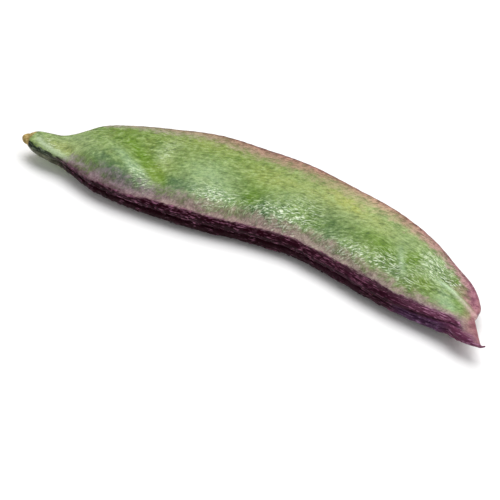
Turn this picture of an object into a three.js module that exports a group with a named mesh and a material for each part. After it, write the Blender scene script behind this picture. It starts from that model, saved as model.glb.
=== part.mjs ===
// A whole fresh hyacinth bean pod, lying on its side, in millimetres with +Z up.
// The stalk end points along -X and the beak along +X. The thick warty seam, where the
// seeds are borne, faces -Y and the thin back edge faces +Y. Hull, seam, stalk scar and
// beak grew as one piece, so they are one closed body.

import * as THREE from 'three';

// Each rib crosses the pod from the seam to the back edge. The first four numbers are
// the rib's two ends in plan, and the last three are half the pod's thickness at the
// seam, over the body between two seeds, and at the back edge.
const rib = (seamX, seamY, backX, backY, seamHalf, bodyHalf, backHalf) => (
  { seamX, seamY, backX, backY, seamHalf, bodyHalf, backHalf }
);
const ribs = [
  rib(2.5, -1.5, 1.7, 1.65, 1.4, 1.5, 1.35),
  rib(3.9, -2.15, 3.0, 3.15, 1.65, 1.7, 1.25),
  rib(6.5, -2.6, 6.1, 4.3, 1.8, 1.85, 1.05),
  rib(9.5, -2.4, 9.0, 5.5, 1.95, 2.0, 0.9),
  rib(12.5, -2.1, 11.4, 8.9, 2.1, 2.2, 0.8),
  rib(16.5, -2.85, 14.6, 13.7, 2.2, 2.5, 0.7),
  rib(22.5, -4.1, 20.5, 17.5, 2.3, 2.8, 0.65),
  rib(30.0, -4.2, 30.0, 21.9, 2.4, 3.0, 0.6),
  rib(39.0, -3.3, 40.0, 25.6, 2.5, 3.1, 0.6),
  rib(49.0, -1.85, 51.5, 27.1, 2.5, 3.1, 0.6),
  rib(60.0, 0.7, 63.0, 27.85, 2.5, 3.1, 0.6),
  rib(71.0, 2.4, 75.0, 26.6, 2.5, 3.1, 0.6),
  rib(81.0, 1.65, 86.5, 24.95, 2.4, 3.0, 0.6),
  rib(91.0, 0.2, 97.0, 21.35, 2.3, 2.8, 0.6),
  rib(99.0, -0.6, 105.5, 16.4, 2.2, 2.5, 0.55),
  rib(105.0, -0.75, 111.2, 12.75, 2.0, 2.2, 0.5),
  rib(109.0, -0.8, 114.6, 8.4, 1.8, 1.9, 0.45),
  rib(111.3, -0.95, 115.1, 5.75, 1.6, 1.7, 0.45),
  rib(113.0, -1.6, 115.0, 4.5, 1.4, 1.45, 0.45),
  rib(114.7, -2.0, 115.9, 3.0, 1.15, 1.2, 0.45),
  rib(116.6, -2.2, 117.2, 1.1, 0.8, 0.85, 0.4),
  rib(118.2, -2.1, 118.35, -0.5, 0.35, 0.4, 0.3),
  rib(119.2, -1.95, 119.1, -1.35, 0.22, 0.22, 0.2),
  rib(119.95, -1.3, 119.75, -1.0, 0.12, 0.12, 0.1),
];

// Swellings over the five seeds and the hollows between them, on both faces. Each is a
// soft oval mound: its centre, its reach along and across, its turn in degrees and its
// height, which is negative for a hollow.
const mound = (x, y, along, across, turn, height) => (
  { x, y, along, across, turn, height }
);
const mounds = [
  mound(21.5, 3.5, 5.5, 4.2, 10, 1.1),
  mound(44.0, 9.5, 7.5, 5.8, -8, 1.5),
  mound(64.5, 9.2, 6.2, 5.4, 0, 1.45),
  mound(84.0, 8.8, 6.2, 5.2, 0, 1.4),
  mound(101.0, 10.0, 4.8, 4.4, 0, 1.1),
  mound(29.0, 7.8, 6.5, 2.2, -32, -0.75),
  mound(34.0, 13.5, 3.2, 5.0, 0, 0.4),
  mound(55.0, 9.5, 2.4, 3.8, 0, -0.4),
  mound(74.0, 9.0, 2.6, 4.2, 0, -0.35),
  mound(92.6, 10.0, 2.2, 4.6, 0, -0.45),
];
const undersideShare = 0.85; // the lower face swells a little less than the upper

// The seam is a pair of round ridges with a groove between them.
const ridgeShare = 0.54; // a ridge's radius, as a share of half the seam's thickness
const grooveFrom = 6; // the groove opens over this stretch behind the stalk end
const grooveOpen = 12;
const grooveClosing = 112; // and closes again over this stretch of the beak
const grooveTo = 117;
const furrowDepth = 0.3; // a shallow furrow runs just inside each ridge
const furrowOffset = 1.5;
const furrowReach = 0.9;
const ridgeRun = 3.4; // the face leaves the ridge's level over this width
const widestRidge = 0.45; // a ridge's radius is at most this share of the pod's width
const widestRun = 0.5; // and the run beside it at most this share
const wartHeight = 0.28;
const lowestWart = 0.4; // the lowest wart, as a share of the tallest
const wartRows = 4; // rows of warts on each ridge
const wartSeed = 7;
const wartlessWidth = 6; // the narrow neck and beak have no warts
const wartyWidth = 16;

// A raised vein runs from the last seed to the notch beside the beak.
const vein = [[100.5, 8.2], [104.6, 9.0], [107.2, 8.7], [110.2, 7.9], [113.6, 5.9], [114.9, 4.8]];
const veinHeight = 0.3;
const veinReach = 0.55;
const flangeDrop = 0.55; // the rim beyond the vein is thinner by this share
const flangeRun = 2.2;

// The mid-plane bows up to both ends and droops a little to the seam and the back.
const midHeight = 3.65;
const bowCentre = 62;
const bowReach = 60;
const bowRise = 1.0;
const seamDroop = 0.6;
const seamDroopRun = 8;
const backDroop = 0.7;
const bodyFullness = 0.85; // how full the face stays on its way to the back edge
const backNose = 1.3; // length of the back edge's rounding, against half its thickness
const widestNose = 0.4; // and at most this share of the pod's width
const rimPower = 4; // the mounds fade out close to the back edge
const slenderWidth = 4; // a part as slender as this has no furrow and no droop
const roomyWidth = 12; // and one as wide as this has all of them

// The scar where the stalk broke off: a shoulder, then a blunt cone, as steps inwards.
const scarSteps = [
  { share: 0.87, height: 0.06 },
  { share: 0.8, height: 0.75 },
  { share: 0.6, height: 1.35 },
  { share: 0.32, height: 1.7 },
];
const scarTip = 1.72;
const beakPoint = 0.12; // how far the beak's last point stands out

// How finely the surface is cut.
const stationStep = 0.95;
const ridgeSteps = 5;
const faceSteps = 12;
const noseSteps = 2;

const { lerp, smoothstep, degToRad, seededRandom } = THREE.MathUtils;
const bell = (distance) => Math.exp(-0.5 * distance * distance);

// The smooth curve through four neighbouring values, between the middle two.
function smoothThrough(before, from, to, after, share) {
  const leave = (to - before) / 2;
  const arrive = (after - from) / 2;
  const squared = share * share;
  const cubed = squared * share;
  return (2 * from - 2 * to + leave + arrive) * cubed
    + (3 * to - 3 * from - 2 * leave - arrive) * squared
    + leave * share + from;
}

// The rib at a place counted in ribs, so that 2.5 is halfway from the third to the fourth.
function ribAt(place) {
  const last = ribs.length - 1;
  const index = Math.min(Math.floor(place), last - 1);
  const around = [index - 1, index, index + 1, index + 2];
  const [before, from, to, after] = around.map((i) => ribs[Math.min(Math.max(i, 0), last)]);
  const found = {};
  for (const key of Object.keys(from)) {
    found[key] = smoothThrough(before[key], from[key], to[key], after[key], place - index);
  }
  found.width = Math.hypot(found.backX - found.seamX, found.backY - found.seamY);
  return found;
}

// How far the mounds lift the face at a point of the plan.
function moundLift(x, y) {
  let lift = 0;
  for (const m of mounds) {
    const turn = degToRad(m.turn);
    const along = (x - m.x) * Math.cos(turn) + (y - m.y) * Math.sin(turn);
    const across = (y - m.y) * Math.cos(turn) - (x - m.x) * Math.sin(turn);
    lift += m.height * bell(along / m.along) * bell(across / m.across);
  }
  return lift;
}

// The distance from a point of the plan to the vein, positive on the back edge's side.
function veinDistance(x, y) {
  let nearest = Infinity;
  let side = 1;
  for (let i = 0; i + 1 < vein.length; i += 1) {
    const [startX, startY] = vein[i];
    const runX = vein[i + 1][0] - startX;
    const runY = vein[i + 1][1] - startY;
    const reach = ((x - startX) * runX + (y - startY) * runY) / (runX * runX + runY * runY);
    const share = Math.min(Math.max(reach, 0), 1);
    const offX = x - startX - share * runX;
    const offY = y - startY - share * runY;
    const distance = Math.hypot(offX, offY);
    if (distance < nearest) {
      nearest = distance;
      side = Math.sign(runX * offY - runY * offX) || 1;
    }
  }
  return nearest * side;
}

const roominess = (r) => smoothstep(r.width, slenderWidth, roomyWidth);

// Half the thickness of one face, a given way in from the seam.
function faceHalf(r, ridge, inward, x, y, share) {
  const across = inward / r.width;
  const body = lerp(r.backHalf, r.bodyHalf, (1 - across * across) ** bodyFullness);
  const furrow = furrowDepth * roominess(r) * bell((inward - ridge - furrowOffset) / furrowReach);
  const run = Math.min(ridgeRun, widestRun * r.width);
  const level = lerp(r.seamHalf - furrow, body, smoothstep(inward, ridge, ridge + run));
  const rim = smoothstep(inward, ridge, ridge + ridgeRun) * (1 - across ** rimPower);
  const offVein = veinDistance(x, y);
  const onVein = smoothstep(x, vein[0][0], vein[2][0]);
  const flange = flangeDrop * onVein * smoothstep(offVein, 0, flangeRun);
  const raised = veinHeight * onVein * bell(offVein / veinReach);
  return lerp(level, r.backHalf, flange) + share * moundLift(x, y) * rim + raised * rim;
}

function midPlane(r, inward, x) {
  const bow = bowRise * ((x - bowCentre) / bowReach) ** 2;
  const seam = seamDroop * (1 - smoothstep(inward, 0, seamDroopRun));
  const back = backDroop * (inward / r.width) ** 2;
  return midHeight + bow - roominess(r) * (seam + back);
}

// One closed ring of points round the pod, from the groove over the top to the back edge
// and home underneath.
function ring(place, station) {
  const r = ribAt(place);
  const opening = smoothstep(r.seamX, grooveFrom, grooveOpen);
  const closing = smoothstep(r.seamX, grooveClosing, grooveTo);
  const slim = lerp(1, ridgeShare, opening * (1 - closing));
  const ridge = Math.min(slim * r.seamHalf, widestRidge * r.width);
  const lift = r.seamHalf - slim * r.seamHalf;
  const firstAngle = -Math.asin(Math.min((1 - slim) / slim, 1));
  const plan = (inward) => [
    lerp(r.seamX, r.backX, inward / r.width),
    lerp(r.seamY, r.backY, inward / r.width),
  ];
  const warty = wartHeight * smoothstep(r.width, wartlessWidth, wartyWidth);
  const wartSize = () => warty * lerp(lowestWart, 1, seededRandom());

  const half = (side) => {
    const share = side > 0 ? 1 : undersideShare;
    const points = [];
    const place3d = (inward, height) => {
      const [x, y] = plan(inward);
      const z = midPlane(r, inward, x) + side * height;
      points.push([x, y, Math.max(z, 0)]);
    };
    for (let i = 0; i < ridgeSteps; i += 1) {
      const angle = lerp(firstAngle, Math.PI / 2, i / ridgeSteps);
      const odd = (i + station) % 2;
      const wart = i > 0 && i <= wartRows && odd ? wartSize() : 0;
      const height = lift + (slim * r.seamHalf + wart) * Math.sin(angle);
      place3d(ridge - (ridge + wart) * Math.cos(angle), height);
    }
    const nose = Math.min(backNose * r.backHalf, widestNose * r.width);
    const inner = r.width - nose;
    for (let i = 0; i <= faceSteps; i += 1) {
      const inward = lerp(ridge, inner, i / faceSteps);
      const [x, y] = plan(inward);
      place3d(inward, faceHalf(r, ridge, inward, x, y, share));
    }
    const [edgeX, edgeY] = plan(inner);
    const edgeHalf = faceHalf(r, ridge, inner, edgeX, edgeY, share);
    for (let i = 1; i <= noseSteps; i += 1) {
      const angle = (i / noseSteps) * (Math.PI / 2);
      place3d(inner + nose * Math.sin(angle), edgeHalf * Math.cos(angle));
    }
    return points;
  };

  const top = half(1);
  const bottom = half(-1);
  return [...top, ...bottom.slice(1, -1).reverse()];
}

// The places of the rings, in ribs, about stationStep apart along the pod.
function stationPlaces() {
  const places = [];
  for (let i = 0; i + 1 < ribs.length; i += 1) {
    const seamRun = Math.hypot(ribs[i + 1].seamX - ribs[i].seamX, ribs[i + 1].seamY - ribs[i].seamY);
    const backRun = Math.hypot(ribs[i + 1].backX - ribs[i].backX, ribs[i + 1].backY - ribs[i].backY);
    const count = Math.max(2, Math.round((seamRun + backRun) / 2 / stationStep));
    for (let k = 0; k < count; k += 1) {
      places.push(i + k / count);
    }
  }
  places.push(ribs.length - 1);
  return places;
}

const average = (points) => [0, 1, 2].map(
  (axis) => points.reduce((sum, p) => sum + p[axis], 0) / points.length,
);

// Rings that step inwards over the stalk scar, innermost first.
function scarRings(first) {
  const centre = average(first);
  const r = ribAt(0);
  const outX = (r.seamY - r.backY) / r.width;
  const outY = (r.backX - r.seamX) / r.width;
  const moved = (share, height) => first.map((p) => [
    lerp(centre[0], p[0], share) + outX * height,
    lerp(centre[1], p[1], share) + outY * height,
    lerp(centre[2], p[2], share),
  ]);
  const rings = scarSteps.map((step) => moved(step.share, step.height)).reverse();
  const apex = [centre[0] + outX * scarTip, centre[1] + outY * scarTip, centre[2]];
  return { rings, apex };
}

// Joins the rings into one closed surface, with a fan of triangles at each end.
function podGeometry() {
  seededRandom(wartSeed);
  const along = stationPlaces().map((place, station) => ring(place, station));
  const scar = scarRings(along[0]);
  const rings = [...scar.rings, ...along];
  const last = rings[rings.length - 1];
  const tip = average(last);
  tip[0] += beakPoint;

  const size = last.length;
  const positions = rings.flat(2);
  positions.push(...scar.apex, ...tip);
  const apexIndex = rings.length * size;
  const tipIndex = apexIndex + 1;
  const faces = [];
  for (let i = 0; i + 1 < rings.length; i += 1) {
    for (let k = 0; k < size; k += 1) {
      const here = i * size + k;
      const next = i * size + ((k + 1) % size);
      faces.push(here, here + size, next);
      faces.push(next, here + size, next + size);
    }
  }
  const lastStart = (rings.length - 1) * size;
  for (let k = 0; k < size; k += 1) {
    const next = (k + 1) % size;
    faces.push(apexIndex, k, next);
    faces.push(tipIndex, lastStart + next, lastStart + k);
  }

  const geometry = new THREE.BufferGeometry();
  geometry.setAttribute('position', new THREE.Float32BufferAttribute(positions, 3));
  geometry.setIndex(faces);
  geometry.computeBoundingBox();
  const centre = geometry.boundingBox.getCenter(new THREE.Vector3());
  geometry.translate(-centre.x, -centre.y, 0);
  geometry.computeVertexNormals();
  return geometry;
}

const podSkin = new THREE.MeshStandardMaterial({ color: 0x7fa05a, roughness: 0.5, metalness: 0 });

const pod = new THREE.Mesh(podGeometry(), podSkin);
pod.name = 'pod';

const hyacinthBean = new THREE.Group();
hyacinthBean.add(pod);

export default hyacinthBean;
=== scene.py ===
# The looks of one whole fresh hyacinth bean pod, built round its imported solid.
# The form is worked out in millimetres, as the solid's is, and made in metres.
import itertools
import math

import bpy
import numpy as np
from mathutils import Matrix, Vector


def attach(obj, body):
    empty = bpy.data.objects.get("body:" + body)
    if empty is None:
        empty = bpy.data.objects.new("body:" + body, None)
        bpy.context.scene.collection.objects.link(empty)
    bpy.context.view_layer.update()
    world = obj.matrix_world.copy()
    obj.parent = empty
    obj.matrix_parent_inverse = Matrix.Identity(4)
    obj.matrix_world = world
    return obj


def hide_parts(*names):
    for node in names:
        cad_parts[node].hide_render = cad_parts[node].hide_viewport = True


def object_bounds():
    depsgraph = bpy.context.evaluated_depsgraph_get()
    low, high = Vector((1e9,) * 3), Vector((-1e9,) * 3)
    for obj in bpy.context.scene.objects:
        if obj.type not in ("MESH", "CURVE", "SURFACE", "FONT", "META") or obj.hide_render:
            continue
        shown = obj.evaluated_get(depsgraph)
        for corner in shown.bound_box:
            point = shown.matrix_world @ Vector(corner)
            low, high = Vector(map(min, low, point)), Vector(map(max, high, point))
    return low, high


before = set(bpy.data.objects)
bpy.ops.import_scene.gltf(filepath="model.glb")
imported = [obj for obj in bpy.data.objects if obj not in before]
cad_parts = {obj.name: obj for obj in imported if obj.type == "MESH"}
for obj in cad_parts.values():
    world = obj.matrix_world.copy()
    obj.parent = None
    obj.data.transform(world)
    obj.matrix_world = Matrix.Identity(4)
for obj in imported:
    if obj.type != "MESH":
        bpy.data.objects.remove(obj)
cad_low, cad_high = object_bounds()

MM = 0.001

# The pod's ribs from the seam to the back edge, as in the solid: the seam's end in plan,
# the back's end in plan, then half the thickness at the seam, the body and the back edge.
RIBS = np.array([
    (2.5, -1.5, 1.7, 1.65, 1.4, 1.5, 1.35),
    (3.9, -2.15, 3, 3.15, 1.65, 1.7, 1.25),
    (6.5, -2.6, 6.1, 4.3, 1.8, 1.85, 1.05),
    (9.5, -2.4, 9, 5.5, 1.95, 2, 0.9),
    (12.5, -2.1, 11.4, 8.9, 2.1, 2.2, 0.8),
    (16.5, -2.85, 14.6, 13.7, 2.2, 2.5, 0.7),
    (22.5, -4.1, 20.5, 17.5, 2.3, 2.8, 0.65),
    (30, -4.2, 30, 21.9, 2.4, 3, 0.6),
    (39, -3.3, 40, 25.6, 2.5, 3.1, 0.6),
    (49, -1.85, 51.5, 27.1, 2.5, 3.1, 0.6),
    (60, 0.7, 63, 27.85, 2.5, 3.1, 0.6),
    (71, 2.4, 75, 26.6, 2.5, 3.1, 0.6),
    (81, 1.65, 86.5, 24.95, 2.4, 3, 0.6),
    (91, 0.2, 97, 21.35, 2.3, 2.8, 0.6),
    (99, -0.6, 105.5, 16.4, 2.2, 2.5, 0.55),
    (105, -0.75, 111.2, 12.75, 2, 2.2, 0.5),
    (109, -0.8, 114.6, 8.4, 1.8, 1.9, 0.45),
    (111.3, -0.95, 115.1, 5.75, 1.6, 1.7, 0.45),
    (113, -1.6, 115, 4.5, 1.4, 1.45, 0.45),
    (114.7, -2, 115.9, 3, 1.15, 1.2, 0.45),
    (116.6, -2.2, 117.2, 1.1, 0.8, 0.85, 0.4),
    (118.2, -2.1, 118.35, -0.5, 0.35, 0.4, 0.3),
    (119.2, -1.95, 119.1, -1.35, 0.22, 0.22, 0.2),
    (119.95, -1.3, 119.75, -1, 0.12, 0.12, 0.1),
])
RIB_KEYS = ("seam_x", "seam_y", "back_x", "back_y", "seam_half", "body_half", "back_half")

# Soft oval mounds over the seeds and hollows between them: centre, reach along and
# across, turn in degrees, height.
MOUNDS = (
    (21.5, 3.5, 5.5, 4.2, 10, 1.1),
    (44, 9.5, 7.5, 5.8, -8, 1.5),
    (64.5, 9.2, 6.2, 5.4, 0, 1.45),
    (84, 8.8, 6.2, 5.2, 0, 1.4),
    (101, 10, 4.8, 4.4, 0, 1.1),
    (29, 7.8, 6.5, 2.2, -32, -0.75),
    (34, 13.5, 3.2, 5, 0, 0.4),
    (55, 9.5, 2.4, 3.8, 0, -0.4),
    (74, 9, 2.6, 4.2, 0, -0.35),
    (92.6, 10, 2.2, 4.6, 0, -0.45),
)
UNDERSIDE_SHARE = 0.85

RIDGE_SHARE = 0.54
GROOVE_OPENS = (6, 12)
GROOVE_CLOSES = (112, 117)
FURROW_DEPTH, FURROW_OFFSET, FURROW_REACH = 0.3, 1.5, 0.9
RIDGE_RUN = 3.4
BODY_FULLNESS = 0.85
BACK_NOSE = 1.3
ROOMY_WIDTH = (4, 12)
# Where the pod is narrow, these shares of its width are the most that a part takes.
RUN_MOST, RIDGE_MOST, NOSE_MOST = 0.5, 0.45, 0.4

VEIN = ((100.5, 7.6), (104.4, 8.2), (106.0, 8.2), (108.3, 7.7), (110.7, 6.7), (114.9, 4.8))
VEIN_HEIGHT, VEIN_REACH = 0.3, 0.42
FLANGE_DROP, FLANGE_RUN = 0.55, 2.2

MID_HEIGHT = 3.65
BOW_CENTRE, BOW_REACH, BOW_RISE = 62, 60, 1.0
SEAM_DROOP, SEAM_DROOP_RUN = 0.6, 8
BACK_DROOP = 0.7

# The stalk scar: a shoulder, then a blunt cone, as shares of its outline and heights.
SCAR_STEPS = ((1.0, 0.0), (0.87, 0.06), (0.8, 0.75), (0.6, 1.35), (0.32, 1.7), (0.0, 1.72))
SCAR_RINGS = 10
SCAR_RADIUS = 1.6
SCAR_ROUGH, SCAR_ROUGH_SIZE, SCAR_SEED = 0.12, 0.8, 61
BEAK_POINT = 0.12

# How finely the surface is cut.
STATION_STEP = 0.24
TOP_STEPS = (18, 98, 5)
UNDER_STEPS = (16, 38, 5)


def smooth_step(value, low, high):
    share = np.clip((value - low) / (high - low), 0, 1)
    return share * share * (3 - 2 * share)


def mix(first, second, share):
    return first + (second - first) * share


def bell(distance):
    return np.exp(-0.5 * distance * distance)


NOISE_GAIN = 1.6  # brings the noise to about -1 to 1


def noise(points, seed):
    """Smooth seeded noise, about -1 to 1, with one lattice cell for each unit of the points."""
    cell = np.floor(points).astype(np.int64)
    local = points - cell
    fade = local**3 * (local * (local * 6 - 15) + 10)
    total = np.zeros(points.shape[:-1])
    for corner in itertools.product((0, 1), repeat=3):
        key = cell + corner
        mixed = key[..., 0] * 73856093 ^ key[..., 1] * 19349663 ^ key[..., 2] * 83492791
        mixed = (mixed ^ (seed * 2654435761)) & 0xFFFFFFFF
        mixed = ((mixed ^ (mixed >> 13)) * 1274126177) & 0xFFFFFFFF
        mixed ^= mixed >> 16
        angle = (mixed & 0xFFFF) / 65536 * 2 * math.pi
        up = (mixed >> 16) / 32768 - 1
        flat = np.sqrt(np.maximum(1 - up * up, 0))
        offset = local - corner
        slope = flat * (np.cos(angle) * offset[..., 0] + np.sin(angle) * offset[..., 1])
        slope += up * offset[..., 2]
        weight = np.prod(np.where(np.array(corner) == 1, fade, 1 - fade), axis=-1)
        total += slope * weight
    return total * NOISE_GAIN


def plan_noise(x, y, side, size_x, size_y, apart, seed):
    """Noise over the plan, with patches of a given size, other ones on each side."""
    return noise(np.stack([x / size_x, y / size_y, side * apart], axis=2), seed)


def ribs_at(places):
    """Every rib value at places counted in ribs, on the same smooth curves as the solid."""
    last = len(RIBS) - 1
    index = np.minimum(np.floor(places).astype(int), last - 1)
    share = (places - index)[:, None]
    before, start, end, after = (RIBS[np.clip(index + k, 0, last)] for k in (-1, 0, 1, 2))
    leave, arrive = (end - before) / 2, (after - start) / 2
    found = (2 * start - 2 * end + leave + arrive) * share**3
    found += (3 * end - 3 * start - 2 * leave - arrive) * share**2 + leave * share + start
    rib = {key: found[:, i, None] for i, key in enumerate(RIB_KEYS)}
    rib["width"] = np.hypot(rib["back_x"] - rib["seam_x"], rib["back_y"] - rib["seam_y"])
    return rib


def station_places():
    """Where the rings lie, counted in ribs, about STATION_STEP apart along the pod."""
    runs = np.diff(RIBS[:, :4], axis=0)
    lengths = (np.hypot(runs[:, 0], runs[:, 1]) + np.hypot(runs[:, 2], runs[:, 3])) / 2
    places = []
    for i, length in enumerate(lengths):
        count = max(2, round(length / STATION_STEP))
        places += [i + k / count for k in range(count)]
    return np.array(places + [len(lengths)])


def oval(x, y, centre_x, centre_y, along, across, turn=0):
    """A soft oval spot in plan, 1 at its centre."""
    c, s = math.cos(math.radians(turn)), math.sin(math.radians(turn))
    run = (x - centre_x) * c + (y - centre_y) * s
    side = (y - centre_y) * c - (x - centre_x) * s
    return bell(run / along) * bell(side / across)


def mound_lift(x, y):
    return sum(m[5] * oval(x, y, *m[:5]) for m in MOUNDS)


def line_distance(x, y, line):
    """The distance in plan to a line of points, positive on its left side."""
    nearest = np.full(np.shape(x), np.inf)
    side = np.ones(np.shape(x))
    for (ax, ay), (bx, by) in zip(line[:-1], line[1:]):
        run_x, run_y = bx - ax, by - ay
        reach = ((x - ax) * run_x + (y - ay) * run_y) / (run_x**2 + run_y**2)
        share = np.clip(reach, 0, 1)
        off_x, off_y = x - ax - share * run_x, y - ay - share * run_y
        distance = np.hypot(off_x, off_y)
        closer = distance < nearest
        side = np.where(closer, np.sign(run_x * off_y - run_y * off_x), side)
        nearest = np.where(closer, distance, nearest)
    return nearest * side


def plan(rib, inward):
    share = inward / rib["width"]
    return mix(rib["seam_x"], rib["back_x"], share), mix(rib["seam_y"], rib["back_y"], share)


def face_half(rib, ridge, inward, share):
    """Half the thickness of one face, a given way in from the seam."""
    x, y = plan(rib, inward)
    roomy = smooth_step(rib["width"], *ROOMY_WIDTH)
    across = inward / rib["width"]
    body = mix(rib["back_half"], rib["body_half"], (1 - across**2) ** BODY_FULLNESS)
    furrow = FURROW_DEPTH * roomy * bell((inward - ridge - FURROW_OFFSET) / FURROW_REACH)
    run = np.minimum(RIDGE_RUN, RUN_MOST * rib["width"])
    level = mix(rib["seam_half"] - furrow, body, smooth_step(inward, ridge, ridge + run))
    rim = smooth_step(inward, ridge, ridge + RIDGE_RUN) * (1 - across**4)
    off_vein = line_distance(x, y, VEIN)
    on_vein = smooth_step(x, VEIN[0][0], VEIN[2][0])
    flange = FLANGE_DROP * on_vein * smooth_step(off_vein, 0, FLANGE_RUN)
    raised = VEIN_HEIGHT * on_vein * bell(off_vein / VEIN_REACH)
    return mix(level, rib["back_half"], flange) + (share * mound_lift(x, y) + raised) * rim


def mid_plane(rib, inward, x):
    roomy = smooth_step(rib["width"], *ROOMY_WIDTH)
    bow = BOW_RISE * ((x - BOW_CENTRE) / BOW_REACH) ** 2
    seam = SEAM_DROOP * roomy * (1 - smooth_step(inward, 0, SEAM_DROOP_RUN))
    return MID_HEIGHT + bow - seam - BACK_DROOP * roomy * (inward / rib["width"]) ** 2


def one_side(rib, side, steps):
    """The grid of one face, from the groove over its ridge to the back edge's middle."""
    ridge_steps, face_steps, nose_steps = steps
    share = 1 if side > 0 else UNDERSIDE_SHARE
    opening = smooth_step(rib["seam_x"], *GROOVE_OPENS)
    closing = smooth_step(rib["seam_x"], *GROOVE_CLOSES)
    slim = mix(1, RIDGE_SHARE, opening * (1 - closing))
    ridge = np.minimum(slim * rib["seam_half"], RIDGE_MOST * rib["width"])
    first = -np.arcsin(np.minimum((1 - slim) / slim, 1))
    angle = mix(first, math.pi / 2, np.arange(ridge_steps)[None, :] / ridge_steps)
    ridge_in = ridge * (1 - np.cos(angle))
    ridge_up = rib["seam_half"] * (1 - slim + slim * np.sin(angle))
    nose = np.minimum(BACK_NOSE * rib["back_half"], NOSE_MOST * rib["width"])
    inner = rib["width"] - nose
    face_in = mix(ridge, inner, np.arange(face_steps + 1)[None, :] / face_steps)
    face_up = face_half(rib, ridge, face_in, share)
    turn = np.arange(1, nose_steps + 1)[None, :] / nose_steps * math.pi / 2
    nose_in = inner + nose * np.sin(turn)
    nose_up = face_up[:, -1:] * np.cos(turn)
    inward = np.concatenate([ridge_in, face_in, nose_in], axis=1)
    height = np.concatenate([ridge_up, face_up, nose_up], axis=1)
    x, y = plan(rib, inward)
    z = mid_plane(rib, inward, x) + side * height
    places = np.stack([x, y, z], axis=2)
    steps_round = np.linalg.norm(np.diff(places, axis=1), axis=2)
    rounded = np.concatenate([np.zeros((len(x), 1)), np.cumsum(steps_round, axis=1)], axis=1)
    facts = {
        "inward": inward,
        "round": rounded,
        "to_back": rib["width"] - inward,
        "past_ridge": rounded - rounded[:, ridge_steps, None],
        "side": np.full(x.shape, float(side)),
        "width": rib["width"] + 0 * x,
    }
    return places, facts


def join_sides(top, under):
    return np.concatenate([top, under[:, ::-1][:, 1:-1]], axis=1)


def pod_grid():
    """The smooth pod as rings of points, with what is known of each point."""
    rib = ribs_at(station_places())
    top, top_facts = one_side(rib, 1, TOP_STEPS)
    under, under_facts = one_side(rib, -1, UNDER_STEPS)
    facts = {key: join_sides(top_facts[key], under_facts[key]) for key in top_facts}
    seam_run = np.hypot(np.diff(rib["seam_x"][:, 0]), np.diff(rib["seam_y"][:, 0]))
    run = np.concatenate([[0], np.cumsum(seam_run)])
    facts["run"] = run[:, None] + 0 * facts["inward"]
    return join_sides(top, under), facts


def outward(places):
    """The directions away from the pod at each point of its grid."""
    along = np.gradient(places, axis=0)
    across = np.roll(places, -1, axis=1) - np.roll(places, 1, axis=1)
    normal = np.cross(along, across)
    return normal / np.maximum(np.linalg.norm(normal, axis=2, keepdims=True), 1e-9)


# Warts on the seam's ridges lie in loose rows along it, about one to each cell of a row.
WART_LENGTH, WART_BREADTH, WART_HEIGHT = 1.9, 0.58, 0.26
# The rows sway along and across: how far in cells, over what distance, and the seed.
WART_SWAYS = ((0.7, 1.7, 71), (1.1, 1.9, 72))
WART_STRAYS = (0.6, 0.5)  # how far warts stray from the cell's middle, in cells
WART_SIZE, WART_SIZE_RANGE = 0.34, 0.26  # in cells
WART_LOWEST, WART_RARENESS = 0.15, 1.5
WART_BLUNTNESS = 0.7


def cell_random(column, row, seed):
    mixed = (column * 374761393 + row * 668265263 + seed * 2246822519) & 0xFFFFFFFF
    mixed = ((mixed ^ (mixed >> 15)) * 2654435761) & 0xFFFFFFFF
    return (mixed ^ (mixed >> 13)) % 65536 / 65536


def warts(places, run, rounded, side):
    """Long low knobs in staggered uneven rows, from 0 to 1."""
    sway_u, sway_v = (far * noise(places / size, seed) for far, size, seed in WART_SWAYS)
    u = run / WART_LENGTH + sway_u
    v = rounded / WART_BREADTH + sway_v
    row_here = np.floor(v).astype(np.int64)
    highest = np.zeros(u.shape)
    seed = np.where(side > 0, 1, 2)
    for row_step in (-1, 0, 1):
        row = row_here + row_step
        shifted = u + 0.5 * (row % 2)
        column_here = np.floor(shifted).astype(np.int64)
        for column_step in (-1, 0, 1):
            column = column_here + column_step
            stray_u = WART_STRAYS[0] * (cell_random(column, row, seed) - 0.5)
            stray_v = WART_STRAYS[1] * (cell_random(column, row, seed + 10) - 0.5)
            size = WART_SIZE + WART_SIZE_RANGE * cell_random(column, row, seed + 20)
            tall = mix(WART_LOWEST, 1, cell_random(column, row, seed + 30) ** WART_RARENESS)
            off_u = shifted - (column + 0.5 + stray_u)
            off_v = v - (row + 0.5 + stray_v)
            far = (off_u**2 + off_v**2) / size**2
            highest = np.maximum(highest, tall * np.maximum(1 - far, 0) ** WART_BLUNTNESS)
    return highest


# Fine wrinkles flow over the face: places along the pod, and the wrinkles' angles from it
# in degrees, first on the open face and then beside the seam, where they turn across it.
FLOW_PLACES = (11, 15, 19, 22, 25, 31, 34, 40, 46, 52, 60, 66, 72, 80, 88, 95, 102, 106, 112)
FLOW_ANGLES = (10, 34, 62, 50, 15, 5, 17, 34, 22, 28, 22, 10, 22, 24, 8, -4, -14, -5, -10)
SEAM_PLACES = (11, 15, 22, 30, 38, 44, 49, 56, 60, 66, 74, 82, 88, 96, 106)
SEAM_ANGLES = (20, 75, 62, 30, 40, 45, 20, 80, 74, 25, 40, 44, 30, 17, 15)
FLOW_STEP = 25  # wrinkles are drawn at whole steps of this angle and blended between
FLOW_FADES = (3.0, 7.5)  # past the ridge, from the angles by the seam to the open face's
SWIRL_TURN = 22
# Noises over the plan: patch size along and across, how unlike the sides are, and the seed.
SWIRL = (4.5, 4.5, 0, 17)
PATCHES = (5, 5, 2, 5)
WANDER = (5.5, 5.5, 4, 41)
RAGGED = (0.9, 0.6, 4, 42)
BLOTCH = (2.1, 1.6, 4, 43)
BEND_SIZE, BEND_APART, BEND_FAR, BEND_SEED = 2.6, 7.3, 0.5, 50

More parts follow.
